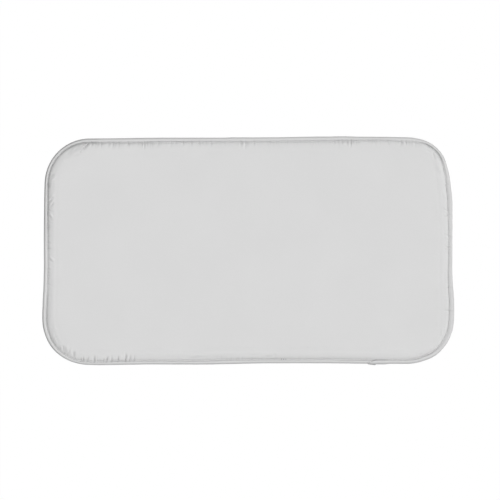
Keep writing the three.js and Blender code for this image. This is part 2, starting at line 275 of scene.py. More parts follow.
# Puckers at the seam: place, reach, height, slant (shift along the seam for each unit inward)
# and width, in millimetres. Heights below zero are furrows.
puckers = [
    (160, 14, -0.35, 0.1, 1.2), (164, 10, 0.2, 0.1, 1.5), (177, 12, 0.15, 0, 1.2), (184, 14, 0.18, 0, 1.1),
    (188, 12, 0.15, 0, 1.1), (208, 7, -0.35, 0, 1.1), (233, 8, 0.15, 0, 2), (276, 8, -0.2, 0.1, 1.3),
    (284.5, 9, 0.25, 0.2, 1.2), (288, 9, -0.35, 0.2, 1.1), (306, 10, 0.25, 0.1, 1.2),
    (310, 10, -0.2, 0.3, 1.1), (314, 13, 0.2, 0.4, 1.2), (318, 10, 0.15, 0.4, 1.2),
    (351, 9, 0.25, 0.1, 1.2), (353.5, 8, -0.3, 0.1, 1), (358, 8, 0.2, 0.1, 1), (361, 12, 0.3, 0.9, 1.2),
    (362, 10, -0.35, 0.2, 1), (402, 6, 0.15, 0, 2), (415.5, 6, -0.4, 0.1, 0.9), (418, 6, 0.2, 0.1, 1),
    (525, 8, 0.3, 0.3, 1.5), (563, 8, -0.45, 0, 1.2), (567.5, 12, 0.35, 0.2, 1.3),
    (572, 12, -0.5, 0.35, 1.2), (577, 9, 0.25, 0.2, 1.5), (604, 5, -0.2, 0, 1.2),
    (622.5, 6, -0.3, 0.1, 0.9), (625.5, 9, 0.4, 0.5, 1.1), (631, 7, -0.25, 0.2, 1), (656, 10, 0.3, 0, 1.1),
    (659.5, 8, -0.25, 0, 0.9), (663, 9, -0.4, 0, 0.9), (666, 9, 0.3, 0, 0.8), (669, 9, -0.35, 0, 0.8),
    (673, 18, -0.7, 0.15, 1), (678, 16, 0.5, 0.05, 1.2), (682, 10, -0.5, 0, 1), (688, 14, 0.25, 0, 1.3),
    (700, 7, -0.2, 0, 1.1), (704, 8, 0.2, 0, 1), (707, 8, -0.2, 0, 1), (716, 6, -0.2, 0, 1.2),
    (786, 5, -0.2, 0, 1), (788.5, 5, 0.2, 0, 1), (802, 5, -0.3, 0, 0.8), (824, 7, -0.25, -0.1, 1.2),
    (834, 6, 0.25, 0, 1), (836, 6, -0.2, 0, 1), (869, 11, -0.4, 0, 1.5), (880, 14, 0.25, 0, 1.3),
    (885.7, 18, -0.75, 0.05, 0.9), (890, 18, 0.45, 0.1, 1.2), (895.5, 8, -0.5, 0.1, 0.9),
    (899, 16, 0.25, 0, 1.2), (909, 6, 0.25, 0.3, 1), (914, 6, 0.25, 0.3, 1), (924, 6, 0.35, 0.3, 1.3),
    (951, 14, 0.3, 0, 1.5), (955.5, 12, -0.4, 0, 1.1), (960, 12, 0.2, 0, 1), (965.5, 8, -0.35, 0.1, 1),
    (971, 9, 0.2, 0, 1.2), (977, 16, 0.4, 0, 1.3), (980, 8, -0.4, 0, 0.9), (991, 9, 0.2, 0, 1.2),
    (994.5, 9, -0.45, 0.1, 0.9), (1008.5, 9, 0.25, 0, 1.2), (1011.3, 9, -0.6, 0, 0.8),
    (1022, 7, 0.2, 0.3, 1), (1026, 7, -0.25, 0.3, 1), (1036, 12, -0.35, 0, 1.1), (1043, 14, 0.4, 0, 1.2),
    (1055, 6, -0.2, 0.2, 1), (1060, 12, -0.45, 0.5, 1.3), (1067, 10, 0.3, 0.4, 1.4),
    (1084, 10, -0.6, 0.05, 0.9), (1087, 14, 0.45, 0, 1), (1090, 16, -0.65, 0.05, 0.9),
    (1092.5, 15, 0.5, 0, 0.9), (1095, 8, -0.45, 0, 0.9), (1103, 5, 0.2, 0, 1), (1122, 10, -0.35, 0.4, 1.3),
    (1128, 8, 0.2, 0.3, 1.3), (1141, 12, -0.5, 0, 1), (1146, 12, 0.35, 0.2, 1.5),
    (1152, 15, -0.55, 0.1, 2.2), (1157.5, 14, 0.45, 0, 1.3), (1172, 9, 0.4, 0.1, 1.1),
    (1176, 13, -0.6, 0.05, 1.1), (1180, 9, 0.3, 0, 1), (1184, 5, 0.2, 0, 0.9), (1192, 7, -0.45, 0.2, 0.9),
    (1195.5, 9, -0.55, 0.1, 0.9), (1198.5, 8, 0.35, 0.2, 1), (1350, 7, -0.5, 0, 5),
    (1434, 7, -0.35, 0, 1.5), (1440, 7, 0.2, 0, 1.5), (1452, 9, -0.25, 0, 1.5), (1460, 10, 0.2, 0, 1.3),
    (1464, 9, -0.3, 0, 1.2), (1470, 10, 0.2, 0, 1.2), (1475, 9, -0.25, 0, 1.2), (1513, 9, 0.2, 0, 1.4),
    (1517, 9, -0.2, 0, 1.2), (1530, 8, -0.2, 0, 1.4), (1575, 8, 0.15, 0, 1.5), (1596, 5, 0.35, 0, 2.5),
    (1737, 14, 0.4, -0.3, 1.5), (1743, 8, 0.3, 0, 1.2), (1748, 8, -0.6, 0.1, 0.9),
    (1750.5, 10, 0.4, 0.1, 0.9), (1753.5, 10, -0.6, 0, 0.9), (1757, 8, 0.3, 0.2, 1),
    (1761, 11, -0.55, 0.5, 1), (1765, 11, 0.35, 0.4, 1), (1770, 12, 0.35, 0, 1.5),
    (1776.5, 14, -0.85, -0.05, 1), (1780.5, 12, 0.45, 0, 1.3), (1788, 8, 0.2, 0.2, 1.5),
    (1794.5, 7, -0.6, 0.3, 0.9), (1797, 10, 0.35, 0.4, 0.9), (1799.5, 12, -0.6, 0.6, 1),
    (1804, 10, 0.3, 0.4, 1.2), (1811, 14, -0.6, 0.1, 1), (1815, 10, 0.3, 0, 1.3),
    (1823.5, 14, -0.65, 0.15, 1), (1829, 14, 0.5, 0.2, 1.8), (1833, 10, 0.25, 0, 1),
    (1839, 20, -0.8, 0.08, 1), (1843, 18, 0.5, 0.2, 1.2), (1846.5, 16, -0.6, 0.3, 1),
    (1851, 10, 0.35, 0.1, 1.2), (1856, 14, -0.6, 0.15, 0.9), (1860, 12, 0.3, 0.1, 1.3),
    (1910, 6, 0.35, 0.5, 2), (2052, 7, -0.2, 0.2, 1.2), (2058, 8, 0.2, 0.2, 1.2), (2063, 8, -0.2, 0.2, 1.2),
    (2069, 8, 0.2, 0.2, 1.2), (2074, 8, -0.2, 0.2, 1.2),
]
puckering = {
    "ridgeScale": 2.2, "furrowScale": 3.2, "creaseScale": 1.5,
    "start": 0.5 * mm,  # under the edge of the tape
    "rampIn": 1.2 * mm, "fade": 1.3,
    "spread": 0.75,  # of the width, and the further from the seam the wider
    "fan": 0.5, "creaseEnds": 0.7, "creaseStart": 1 * mm,
    # Painted shade in furrows: so much darker for each millimetre of depth, and no darker past the deepest
    "paintedShade": 0.15,  # for each millimetre of depth
    "paintedShadeDepth": 1.5 * mm,  # puckers deeper than this get no duller
}
strayPuckers = {"spacing": 5.5, "reach": 12, "height": 0.34, "width": 1.3}

# Creases that cross the border: place and inset of both ends, height and width in millimetres
creases = [
    (88, 11, 103, 16.5, -0.35, 1.4), (100, 17, 118, 21.5, 0.4, 1.3), (103, 14, 118, 18.5, -0.2, 1.3),
    (20, 20, 28, 17, 0.3, 1.3), (33, 14, 24, 17, -0.3, 1.5), (62, 16, 80, 16, 0.15, 1.5),
    (474, 18.5, 497, 11, -0.8, 1.5), (497, 14, 512, 15, -0.3, 1.5), (440, 17, 474, 14, 0.5, 3),
    (1199, 7, 1219, 21, -1.9, 1.5), (1213, 17, 1230, 27, -1.2, 1.5), (1206, 9, 1229, 24, 1.3, 1.3),
    (1225, 27, 1252, 28, -0.3, 2), (1214, 24, 1264, 22, 0.4, 5), (1223, 12, 1243, 20, -0.4, 2.5),
    (1236, 11, 1262, 17, -0.4, 2.5), (1244, 17, 1258, 22, -0.2, 2), (1216, 20, 1226, 25, 0.5, 1.3),
    (1276, 20, 1281, 20, 0.3, 1.5), (1340, 11, 1325, 22, 0.6, 1.3), (1332, 11, 1318, 17, -0.5, 2),
    (1374, 11.5, 1367, 20, 0.6, 1.2), (1381, 11, 1371, 18, -0.6, 1.3), (1389, 11, 1378, 20, 0.4, 1.2),
    (1396, 11, 1381, 20, -0.6, 1.4), (1403, 10.5, 1414, 18, 0.6, 1.2), (1408, 10.5, 1420, 16, -0.5, 1.6),
    (1491, 11, 1500, 20, 0.5, 1.2), (1495, 10.5, 1505, 19, -0.35, 1.2), (1668, 11, 1652, 18, 0.25, 1.2),
    (1676, 10.5, 1660, 18, 0.3, 1.2), (1684, 10.5, 1668, 17, 0.3, 1.2), (1646, 21.5, 1640, 24, 0.4, 1.5),
    (1698, 11, 1692, 16, 0.7, 1.2), (1704, 11, 1694, 19, -0.9, 1.3), (1715, 13, 1701, 25, 0.6, 1.6),
    (1724, 12, 1714, 26, 0.5, 1.8), (1731, 10, 1726, 22, -0.8, 2), (1920, 17, 1960, 16, -0.15, 1.5),
    (1925, 21, 1960, 22, 0.15, 2), (1965, 13.5, 2008, 17.5, -0.3, 1.5), (1968, 17, 2012, 21, 0.25, 2),
    (2010, 16, 2045, 14.5, -0.15, 1.5), (2085, 17.5, 2115, 17.5, -0.2, 1.2),
    (2086, 15, 2112, 15, 0.2, 1.4), (2118, 14.5, 2136, 14.5, -0.35, 1.3),
    (2119, 17.5, 2136, 17.5, 0.2, 1.3), (2136, 17.5, 2145, 16.5, -0.2, 1.2),
]


def addStrays():
    count = round(perimeter / (strayPuckers["spacing"] * mm))
    for step in range(count):
        place = perimeter / mm * (step + randomiser.uniform(0, 1)) / count
        puckers.append((
            place,
            strayPuckers["reach"] * randomiser.uniform(0.5, 1.5),
            strayPuckers["height"] * randomiser.uniform(-1.2, 1) * around(seamSlack, place * mm),
            randomiser.uniform(-0.4, 0.4),
            strayPuckers["width"] * randomiser.uniform(0.7, 1.4),
        ))


# A ridge or furrow in section, or the narrower stripe in which a furrow gets painted shade
def foldSection(offset, spread, furrowsOnly):
    return np.exp(-((offset / spread) ** 2) * (1.5 if furrowsOnly else 0.5))


def puckerHeight(places, inset, furrowsOnly=False):
    height = np.zeros_like(places)
    past = inset - seamAt(places)[2] + puckering["start"]
    for place, reach, tall, slant, width in puckers:
        if furrowsOnly and tall > 0:
            continue
        offset = np.mod(places - place * mm - slant * past + perimeter / 2, perimeter) - perimeter / 2
        share = past / (reach * mm)
        near = (np.abs(offset) < 4 * width * mm) & (share > 0) & (share < 1)
        spread = puckering["spread"] * width * mm * (1 + puckering["fan"] * share[near])
        fade = ease(past[near], 0, puckering["rampIn"]) * (1 - share[near]) ** puckering["fade"]
        scale = puckering["ridgeScale"] if tall > 0 else puckering["furrowScale"]
        height[near] += scale * tall * mm * fade * foldSection(offset[near], spread, furrowsOnly)
    return height


def creaseHeight(places, inset, furrowsOnly=False):
    spots = spotsAt(places, inset)
    height = np.zeros_like(places)
    for placeA, insetA, placeB, insetB, tall, width in creases:
        if furrowsOnly and tall > 0:
            continue
        start, end = spotsAt(np.array([placeA, placeB]) * mm, np.array([insetA, insetB]) * mm)
        length = np.linalg.norm(end - start)
        along = (end - start) / length
        run = (spots - start) @ along / length
        across = (spots - start) @ np.array([-along[1], along[0]])
        fade = np.sin(np.clip(run, 0, 1) * math.pi) ** puckering["creaseEnds"]
        height += puckering["creaseScale"] * tall * mm * fade * foldSection(across, width * mm, furrowsOnly)
    edge = seamAt(places)[2]
    return height * ease(inset, edge, edge + puckering["creaseStart"])


# Painted shade at the bottom of the furrows, where shade falls
def furrowPaintedShade(places, inset):
    furrow = np.minimum(-puckerHeight(places, inset, True), puckering["paintedShadeDepth"])
    return puckering["paintedShade"] * (furrow - creaseHeight(places, inset, True)) / mm


# A strip of faces round the pad from a grid: pointsAt gives the points of a row. Where the first
# and last row are alike it closes into a tube. Marks are values kept with each vertex.
def stripMesh(stations, rowCount, pointsAt, uvAt=None, marks=None):
    strip = bmesh.new()
    bmesh.ops.create_grid(strip, x_segments=stations, y_segments=rowCount - 1, size=1)
    strip.verts.ensure_lookup_table()
    places = np.arange(stations + 1) / stations * perimeter
    points = np.concatenate([pointsAt(places, row) for row in range(rowCount)])
    for vert, point in zip(strip.verts, points):
        vert.co = point
    strip.verts.index_update()
    rowOf = strip.verts.layers.int.new("row")
    for vert in strip.verts:
        vert[rowOf] = vert.index // (stations + 1)
    for name, amountAt in (marks or {}).items():
        mark = strip.verts.layers.float.new(name)
        amounts = np.concatenate([amountAt(places, row) for row in range(rowCount)])
        for vert, amount in zip(strip.verts, amounts):
            vert[mark] = amount
    if uvAt is not None:
        layer = strip.loops.layers.uv.new("alongTape")
        across = [uvAt(row) for row in range(rowCount)]
        for face in strip.faces:
            for loop in face.loops:
                row, column = divmod(loop.vert.index, stations + 1)
                loop[layer].uv = (places[column], across[row])
    return strip


def closeStrip(strip):
    bmesh.ops.remove_doubles(strip, verts=strip.verts, dist=0.001 * mm)
    strip.verts.index_update()


# Takes out every second column outside the rows that carry fine detail
def thinColumns(strip, stations, fineRows):
    spare = []
    for edge in strip.edges:
        (rowA, columnA), (rowB, columnB) = (divmod(vert.index, stations + 1) for vert in edge.verts)
        outside = max(rowA, rowB) <= fineRows[0] or min(rowA, rowB) >= fineRows[1]
        if columnA == columnB and columnA % 2 and outside:
            spare.append(edge)
    bmesh.ops.dissolve_edges(strip, edges=spare, use_verts=True)


# Rows are (0, 1 or 2 for bead, stitches or tape edge, millimetres further in)
def insetOf(places, row):
    return seamAt(places)[row[0]] + row[1] * mm


def meshFrom(name, shape):
    mesh = bpy.data.meshes.new(name)
    shape.to_mesh(mesh)
    shape.free()
    return mesh


def addObject(name, data):
    added = bpy.data.objects.new(name, data)
    bpy.context.scene.collection.objects.link(added)
    return added


def finishMesh(name, shape, material, nodes):
    mesh = meshFrom(name, shape)
    for polygon in mesh.polygons:
        polygon.use_smooth = True
    mesh.materials.append(material)
    piece = addObject(name, mesh)
    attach(piece, "root")
    if nodes:
        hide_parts(*nodes)
    return piece


# Wraps a socket so that sums of values become Math nodes
class Wire:
    def __init__(self, finish, socket):
        self.finish, self.socket = finish, socket

    def maths(self, operation, first, second):
        return self.finish.add("ShaderNodeMath", {"operation": operation}, {0: first, 1: second})

    def __add__(self, other):
        return self.maths("ADD", self, other)

    def __sub__(self, other):
        return self.maths("SUBTRACT", self, other)

    def __rsub__(self, other):
        return self.maths("SUBTRACT", other, self)

    def __mul__(self, other):
        return self.maths("MULTIPLY", self, other)

    def __abs__(self):
        return self.maths("ABSOLUTE", self, 0)

    __radd__, __rmul__ = __add__, __mul__


class Finish:
    def __init__(self, name, owner=None):
        self.material = owner or bpy.data.materials.new(name)
        self.material.use_nodes = True
        self.tree = self.material.node_tree
        self.tree.nodes.clear()

    def add(self, kind, settings=None, values=None, output=0):
        node = self.tree.nodes.new(kind)
        for key, value in (settings or {}).items():
            setattr(node, key, value)
        for key, value in (values or {}).items():
            if isinstance(value, Wire):
                self.tree.links.new(value.socket, node.inputs[key])
            else:
                node.inputs[key].default_value = value
        return Wire(self, node.outputs[output])

    def objectPlace(self):
        return self.add("ShaderNodeTexCoord", output=3)

    def noise(self, vector, scale, detail, distortion=0):
        values = {"Vector": vector, "Scale": scale, "Detail": detail, "Distortion": distortion}
        return self.add("ShaderNodeTexNoise", values=values)

    def sine(self, value):
        return self.add("ShaderNodeMath", {"operation": "SINE"}, {0: value})

    def blend(self, share, first, second):
        return self.add("ShaderNodeMix", {"data_type": "RGBA"}, {0: share, 6: first, 7: second}, output=2)

    def bump(self, height, depth, strength):
        values = {"Height": height, "Distance": depth, "Strength": strength}
        return self.add("ShaderNodeBump", values=values)

    def finishWith(self, kind, shader):
        node = self.tree.nodes.new(kind)
        self.tree.links.new(shader.socket, node.inputs["Surface"])
        return self.material

    def principled(self, values):
        shader = self.add("ShaderNodeBsdfPrincipled", values=values)
        return self.finishWith("ShaderNodeOutputMaterial", shader)


def grey(shade):
    return (shade, shade, shade, 1)


def sidesOf(finish, vector):
    return [finish.add("ShaderNodeSeparateXYZ", values={0: vector}, output=side) for side in (0, 1)]


# Two sets of yarns crossing over and under each other, as a height from 0 to 1
def weave(finish, vector, pitch):
    warp, weft = (finish.sine(side * (math.pi / pitch)) for side in sidesOf(finish, vector))
    over = finish.add(
        "ShaderNodeMapRange", {"interpolation_type": "SMOOTHSTEP"},
        {"Value": warp * weft, "From Min": -0.3, "From Max": 0.3},
    )
    return abs(warp) * over + abs(weft) * (1 - over)


# Colour of a cloth that varies a little by yarn and in patches, darkened towards black by painted shade
def clothColour(finish, vector, cloth, height, paintedDark=0):
    broad = finish.noise(vector, scale=9.0, detail=3.0)
    fine = finish.noise(vector, scale=260.0, detail=2.0)
    amount = (broad - 0.5) * cloth["patches"] + (fine + height - 1) * cloth["yarns"]
    colour = finish.blend(amount + 0.5, grey(cloth["shade"] * 0.9), grey(cloth["shade"] * 1.1))
    return finish.blend(paintedDark, colour, grey(0))


metallisedCloth = {
    "shade": 0.7, "patches": 0.25, "yarns": 0.12, "pitch": 0.55 * mm, "slubs": 180.0,
    "metal": 0.03, "roughness": 0.6, "specular": 0.08,
}
tapeCloth = {
    "shade": 0.687, "patches": 0.2, "yarns": 0.14, "pitch": 0.55 * mm, "slubs": 200.0,
    "metal": 0.02, "roughness": 0.6, "specular": 0.06,
}


def coatedCloth(finish, vector, cloth):
    height = weave(finish, vector, cloth["pitch"])
    slub = finish.noise(vector, scale=cloth["slubs"], detail=3.0)
    # Painted shade kept with each vertex darkens the base colour
    paintedDark = finish.add("ShaderNodeAttribute", {"attribute_name": "paintedShade"}, output=2)
    return finish.principled({
        "Base Color": clothColour(finish, vector, cloth, height, paintedDark),
        "Roughness": cloth["roughness"] + (slub - 0.5) * 0.15,
        "Normal": finish.bump(height + slub * 0.8, depth=0.03 * mm, strength=0.5),
        "Metallic": cloth["metal"],
        "Specular IOR Level": cloth["specular"],
    })


def metallisedCotton():
    finish = Finish("metallisedCotton")
    return coatedCloth(finish, finish.objectPlace(), metallisedCloth)


# The tape is cut across the weave, so its yarns run at 45 degrees to its length
def biasTape():
    finish = Finish("biasTape")
    uv = finish.add("ShaderNodeUVMap", {"uv_map": "alongTape"})
    turned = finish.add(
        "ShaderNodeMapping", {"vector_type": "POINT"}, {"Vector": uv, "Rotation": (0, 0, math.pi / 4)},
    )
    return coatedCloth(finish, turned, tapeCloth)


backCloth = {"shade": 0.6, "patches": 0.2, "yarns": 0.3, "pitch": 0.7 * mm}


def plainCotton():
    finish = Finish("plainCotton")
    place = finish.objectPlace()
    height = weave(finish, place, backCloth["pitch"])
    fluff = finish.noise(place, scale=420.0, detail=4.0)
    return finish.principled({
        "Base Color": clothColour(finish, place, backCloth, height),
        "Roughness": 0.88,
        "Normal": finish.bump(height + fluff * 0.6, depth=0.06 * mm, strength=0.6),
        "Sheen Weight": 0.15,
    })


seamThread = {"twist": 0.5 * mm}


def twistedThread(name, shade):
    finish = Finish(name)
    x, y = sidesOf(finish, finish.objectPlace())
    ply = finish.sine((x + y) * (math.tau / seamThread["twist"]))
    return finish.principled({
        "Base Color": finish.blend(ply * 0.5 + 0.5, grey(shade * 0.85), grey(shade * 1.1)),
        "Roughness": 0.5,
        "Normal": finish.bump(ply, depth=0.04 * mm, strength=0.5),
    })


def needledFelt(name, shade, warmth):
    finish = Finish(name)
    place = finish.objectPlace()
    fibres = finish.noise(place, scale=700.0, detail=6.0, distortion=1.5)
    needles = finish.add("ShaderNodeTexVoronoi", values={"Vector": place, "Scale": 380.0})
    dark = (shade * 0.8, shade * 0.8, shade * warmth * 0.8, 1)
    return finish.principled({
        "Base Color": finish.blend(fibres, dark, (shade, shade, shade * warmth, 1)),
        "Roughness": 0.95,
        "Normal": finish.bump(fibres + needles * 0.4, depth=0.3 * mm, strength=0.8),
    })


def crinkledFoil():
    finish = Finish("crinkledFoil")
    place = finish.objectPlace()
    wrinkles = finish.add(
        "ShaderNodeTexVoronoi", {"feature": "DISTANCE_TO_EDGE"}, {"Vector": place, "Scale": 90.0},
    )
    smudge = finish.noise(place, scale=30.0, detail=3.0)
    return finish.principled({
        "Base Color": finish.blend(smudge, grey(0.72), grey(0.82)),
        "Roughness": smudge * 0.15 + 0.2,
        "Metallic": 0.95,
        "Normal": finish.bump(wrinkles, depth=0.3 * mm, strength=0.4),
    })


finishes = {
    "face": metallisedCotton(), "tape": biasTape(), "back": plainCotton(),
    "thread": twistedThread("twistedThread", 0.6), "tack": twistedThread("darkThread", 0.2),
    "upperFelt": needledFelt("whiteFelt", 0.8, 0.95), "lowerFelt": needledFelt("greyFelt", 0.55, 0.96),
    "foil": crinkledFoil(),
}
print("finishes made")

addStrays()
print("puckers and creases:", len(puckers) + len(creases))

# The face cloth: a gathered border, and a middle cut into an even net
faceCloth = {
    "stations": 2600,
    "rows": [(0, -1), (0, 0), (1, 0), (2, -0.3), (2, 0.3), (2, 0.8), (2, 1.4), (2, 2.1), (2, 3), (2, 3.9),
             (2, 4.9), (2, 6), (2, 7.3), (2, 8.8), (2, 10.6), (2, 12.8), (2, 15.5), (2, 19), (2, 24)],
    "fineRows": (3, 15), "net": 11 * mm, "swell": 0.01 * mm, "swellRun": (15 * mm, 30 * mm),
    "swellWaves": [(0.3, 0.21), (1.4, 0.17), (2.2, 0.13), (2.9, 0.25)],  # direction and length in metres
}
netReach = (0.4, 0.22)  # along x and y


def broadSwell(x, y):
    height = 0
    for turn, wave in faceCloth["swellWaves"]:
        height = height + np.sin((x * math.cos(turn) + y * math.sin(turn)) * math.tau / wave + turn * 7)
    return faceCloth["swell"] * height


# Closes the middle of a cloth with one face and cuts it into a net of squares
def fillMiddle(sheet, net):
    layer = sheet.faces.layers.int.new("middle")
    rowOf = sheet.verts.layers.int["row"]
    last = max(vert[rowOf] for vert in sheet.verts)
    rim = [edge for edge in sheet.edges if edge.is_boundary]
    rim = [edge for edge in rim if all(vert[rowOf] == last for vert in edge.verts)]
    for face in bmesh.ops.contextual_create(sheet, geom=rim)["faces"]:
        face[layer] = 1
    for axis, half in enumerate(netReach):
        normal = [1 - axis, axis, 0]
        for step in range(-int(half / net), int(half / net) + 1):
            cut = [normal[0] * step * net, normal[1] * step * net, 0]
            inside = [face for face in sheet.faces if face[layer]]
            geom = inside + list({edge for face in inside for edge in face.edges})
            geom += list({vert for face in inside for vert in face.verts})
            bmesh.ops.bisect_plane(sheet, geom=geom, dist=0.0001 * mm, plane_co=cut, plane_no=normal)
    return [face for face in sheet.faces if face[layer]]


def faceUp(sheet, up):
    bmesh.ops.recalc_face_normals(sheet, faces=sheet.faces)
    if up * sum(face.normal.z * face.calc_area() for face in sheet.faces) < 0:
        bmesh.ops.reverse_faces(sheet, faces=sheet.faces)


def addWall(piece, thickness):
    wall = piece.modifiers.new("clothThickness", "SOLIDIFY")
    wall.thickness, wall.offset = thickness, -1


gathering = {
    "frames": 12,
    "growthRun": (2 * mm, 14 * mm),  # past the tape, over which the growth of the cloth ends
    "heldRows": (3, 17), "leastSlack": 0.01, "least": (-0.8 * mm, -0.8 * mm, -0.6 * mm),
    "most": (0.8 * mm, 0.8 * mm, 0.8 * mm),
    "settings": {
        "quality": 5, "mass": 0.0002, "air_damping": 2, "tension_stiffness": 6,
        "compression_stiffness": 6, "shear_stiffness": 3, "bending_stiffness": 0.002,
        "vertex_group_mass": "heldCloth", "vertex_group_shrink": "grownCloth", "shrink_min": 0,
        "shrink_max": -0.06,  # more cloth than room
        "use_pressure": True, "uniform_pressure_force": 0.3,
    },
}


# Lets the border of the cloth go between the seam and the ironing face and keeps what it does
def gatherCloth(piece):
    mesh = piece.data
    count = len(mesh.vertices)
    rows, slack, before = np.zeros(count, dtype=np.int32), np.zeros(count), np.zeros(count * 3)
    mesh.attributes["row"].data.foreach_get("value", rows)
    mesh.attributes["slack"].data.foreach_get("value", slack)
    mesh.vertices.foreach_get("co", before)
    before = before.reshape(-1, 3)
    held = piece.vertex_groups.new(name=gathering["settings"]["vertex_group_mass"])
    first, last = gathering["heldRows"]
    held.add([int(index) for index in np.flatnonzero((rows <= first) | (rows >= last))], 1, "REPLACE")
    grown = piece.vertex_groups.new(name=gathering["settings"]["vertex_group_shrink"])
    for index in np.flatnonzero(slack > gathering["leastSlack"]):
        grown.add([int(index)], float(slack[index]), "REPLACE")
    cloth = piece.modifiers.new("gathering", "CLOTH")
    cloth.collision_settings.use_collision = False
    cloth.point_cache.frame_start, cloth.point_cache.frame_end = 1, gathering["frames"]
    for setting, value in gathering["settings"].items():
        setattr(cloth.settings, setting, value)
    cloth.settings.effector_weights.gravity = 0
    scene = bpy.context.scene
    for step in range(1, gathering["frames"] + 1):
        scene.frame_set(step)
    settled = piece.evaluated_get(bpy.context.evaluated_depsgraph_get()).to_mesh()
    after = np.zeros(count * 3)
    settled.vertices.foreach_get("co", after)
    move = after.reshape(-1, 3) - before
    print("cloth gathered, moves up to", (np.abs(move).max(axis=0) / mm).round(2), "mm")
    move = np.clip(move, gathering["least"], gathering["most"])
    piece.modifiers.remove(cloth)
    mesh.vertices.foreach_set("co", (before + move).ravel())
    mesh.update()
    scene.frame_set(1)


def makeFaceCloth():
    def pointsAt(places, row):
        inset = insetOf(places, faceCloth["rows"][row])
        spots = spotsAt(places, inset)
        folds = puckerHeight(places, inset) + creaseHeight(places, inset)
        height = faceTop(places, inset) + np.maximum(folds, -padSection["furrowRoom"])
        height += broadSwell(*spots.T) * ease(inset, *faceCloth["swellRun"])
        return np.column_stack([spots, height])

    # Painted shade of the face cloth in the crease, on the fold and in the furrows
    def paintedShadeAt(places, row):
        inset = insetOf(places, faceCloth["rows"][row])
        return np.clip(paintedShade(places, inset) + furrowPaintedShade(places, inset), 0, 1)

    def slackAt(places, row):
        past = insetOf(places, faceCloth["rows"][row]) - seamAt(places)[2]
        return around(seamSlack, places) * (1 - ease(past, *gathering["growthRun"]))

    marks = {"paintedShade": paintedShadeAt, "slack": slackAt}
    sheet = stripMesh(faceCloth["stations"], len(faceCloth["rows"]), pointsAt, marks=marks)
    thinColumns(sheet, faceCloth["stations"], faceCloth["fineRows"])
    closeStrip(sheet)
    for face in fillMiddle(sheet, faceCloth["net"]):
        for vert in face.verts:
            vert.co.z = padSection["padThickness"] + broadSwell(vert.co.x, vert.co.y)
    faceUp(sheet, 1)
    piece = finishMesh("metallised_cover", sheet, finishes["face"], ["face_cloth"])
    gatherCloth(piece)
    addWall(piece, padSection["clothThickness"])
    return piece


cover = makeFaceCloth()
print("face cloth:", len(cover.data.polygons), "faces")


# The tape: its section runs out above, round the fold, in below and back inside
foldedTape = {
    "stitchPitch": 3.5 * mm, "stationsPerStitch": 3, "stitchInset": 8 * mm,
    "outerRows": (9, 11),  # points on each leg and on the fold
    "innerRows": (3, 5), "dimple": 0.22 * mm, "dimpleWidth": 1.1 * mm, "wave": 0.1 * mm,
    "waveLength": 11 * mm, "waveStep": 50 * mm,
    "waveTurn": 0.55,  # from row to row
    "waveSway": (2.5, 30 * mm), "edgeWander": 0.2 * mm, "edgeStep": 25 * mm, "gatherShare": 0.5,
    "gatherInset": 1.2 * mm,
}
# The lap's painted shade: a dark line painted along the end of the tape where its step casts shade, and
# darker colour at the loose tip
tapeLap = {
    "start": 2327.5 * mm, "tip": 2.5 * mm, "slant": 2.8, "rise": 1.2 * mm, "paintedShade": 0.3,
    "line": 1.5 * mm, "length": 34 * mm, "fade": 10 * mm, "edge": 0.7 * mm, "earLength": 14.5 * mm,
    "earEnd": 3 * mm, "earReach": 1.6 * mm, "earPaintedShade": 0.1, "earWidth": 3 * mm,
}
stitchCount = round((perimeter - math.tau * foldedTape["stitchInset"]) / foldedTape["stitchPitch"])


def pastLap(places):
    return np.mod(places - tapeLap["start"] + perimeter / 2, perimeter) - perimeter / 2


# How far a place lies past the slanting end of the tape
def pastLapEnd(places, inset):
    return pastLap(places) - tapeLap["slant"] * np.maximum(inset - tapeLap["tip"], 0)


# Height of the lap where the tape's end lies on its beginning
def lapAt(places, inset):
    rise = np.clip(pastLapEnd(places, inset) / tapeLap["edge"], 0, 1)
    fall = ease(pastLap(places), tapeLap["length"], tapeLap["length"] + tapeLap["fade"])
    return tapeLap["rise"] * rise * (1 - fall)


# The loose tip of the lap, which stands a little out of the edge
def earAt(places):
    past = pastLap(places)
    rise = np.clip(past / tapeLap["earLength"], 0, 1)
    fall = ease(past, tapeLap["earLength"], tapeLap["earLength"] + tapeLap["earEnd"])
    return tapeLap["earReach"] * rise * (1 - fall)


# Rows of the section: (leg above, fold or leg below; share or angle; wall)
def tapeSection():
    section = []
    for (legRows, foldRows), wall in (
        (foldedTape["outerRows"], 0), (foldedTape["innerRows"], padSection["tapeThickness"]),
    ):
        legShares = [1 - step / legRows for step in range(legRows)]
        angles = [quarter - math.pi * step / (foldRows - 1) for step in range(foldRows)]
        rows = [("above", share, wall) for share in legShares]
        rows += [("fold", angle, wall) for angle in angles]
        rows += [("below", share, wall) for share in reversed(legShares)]
        section += reversed(rows) if wall else rows
    return section + section[:1]


def sectionPoint(places, row):
    kind, value, wall = row
    bead, stitch, edge = seamAt(places)
    if kind == "fold":
        half = around(beadHeights, places) / 2 * mm
        return bead - (bead - wall) * math.cos(value), half + (half - wall) * math.sin(value)
    inset = bead + (edge - bead) * value
    if kind == "above":
        return inset, tapeTop(places, inset) - wall
    return inset, tapeBottom(places, inset) + wall


